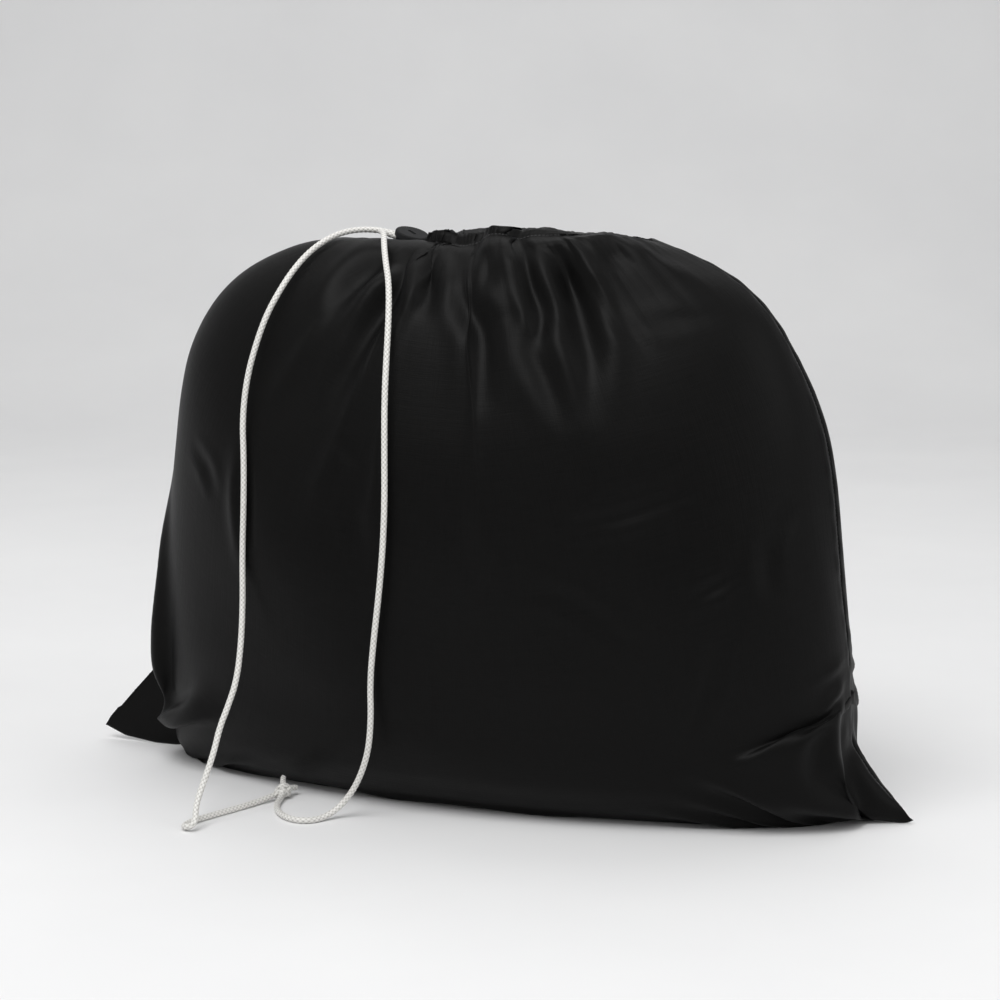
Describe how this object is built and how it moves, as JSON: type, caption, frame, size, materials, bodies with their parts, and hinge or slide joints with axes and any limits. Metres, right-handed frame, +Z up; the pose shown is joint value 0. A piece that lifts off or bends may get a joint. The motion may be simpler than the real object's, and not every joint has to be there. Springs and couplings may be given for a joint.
{
  "type": "drawstring laundry bag",
  "caption": "Stuffed drawstring laundry bag with two corner ears, a gathered hem, a braided drawcord, a disc cord lock and two tails tied in a knot.",
  "frame": {"origin": "middle of the bag's width and depth, on the surface it stands on", "axes": "+X along the width, to the right seen from the front; +Y towards the back panel, so the front faces -Y; +Z up"},
  "size_m": [0.59, 0.2916, 0.3772],
  "materials": {
    "black_cotton": "plain-woven cotton-polyester, soft sheen",
    "load_cloth": "crumpled laundry",
    "black_thread": "polyester sewing thread",
    "white_braid": "glossy white braid",
    "grey_plastic": "moulded, satin",
    "spring_steel": "drawn wire"
  },
  "bodies": {
    "bag": {"front_panel": "black_cotton", "back_panel": "black_cotton", "laundry_load": "load_cloth", "front_hem_stitching": "black_thread", "back_hem_stitching": "black_thread", "left_side_seam": "black_thread", "right_side_seam": "black_thread", "bottom_seam": "black_thread", "drawcord_channel": "white_braid", "drawcord_left_tail": "white_braid", "drawcord_right_tail": "white_braid", "drawcord_knot": "white_braid"},
    "lock": {"lock_body": "grey_plastic", "lock_spring": "spring_steel"},
    "lock_press": {"lock_button": "grey_plastic"}
  },
  "joints": [
    {"name": "lock_slide", "type": "slide", "parent": "bag", "child": "lock", "axis": [-0.9511, 0, 0.309], "range_m": [0, 0.004]},
    {"name": "button_press", "type": "slide", "parent": "lock", "child": "lock_press", "axis": [-0.3051, 0.1561, -0.9394], "range_m": [0, 0.0016], "stiffness_N_per_m": 300, "springref_m": -0.001, "deforming": ["lock_spring"]}
  ]
}
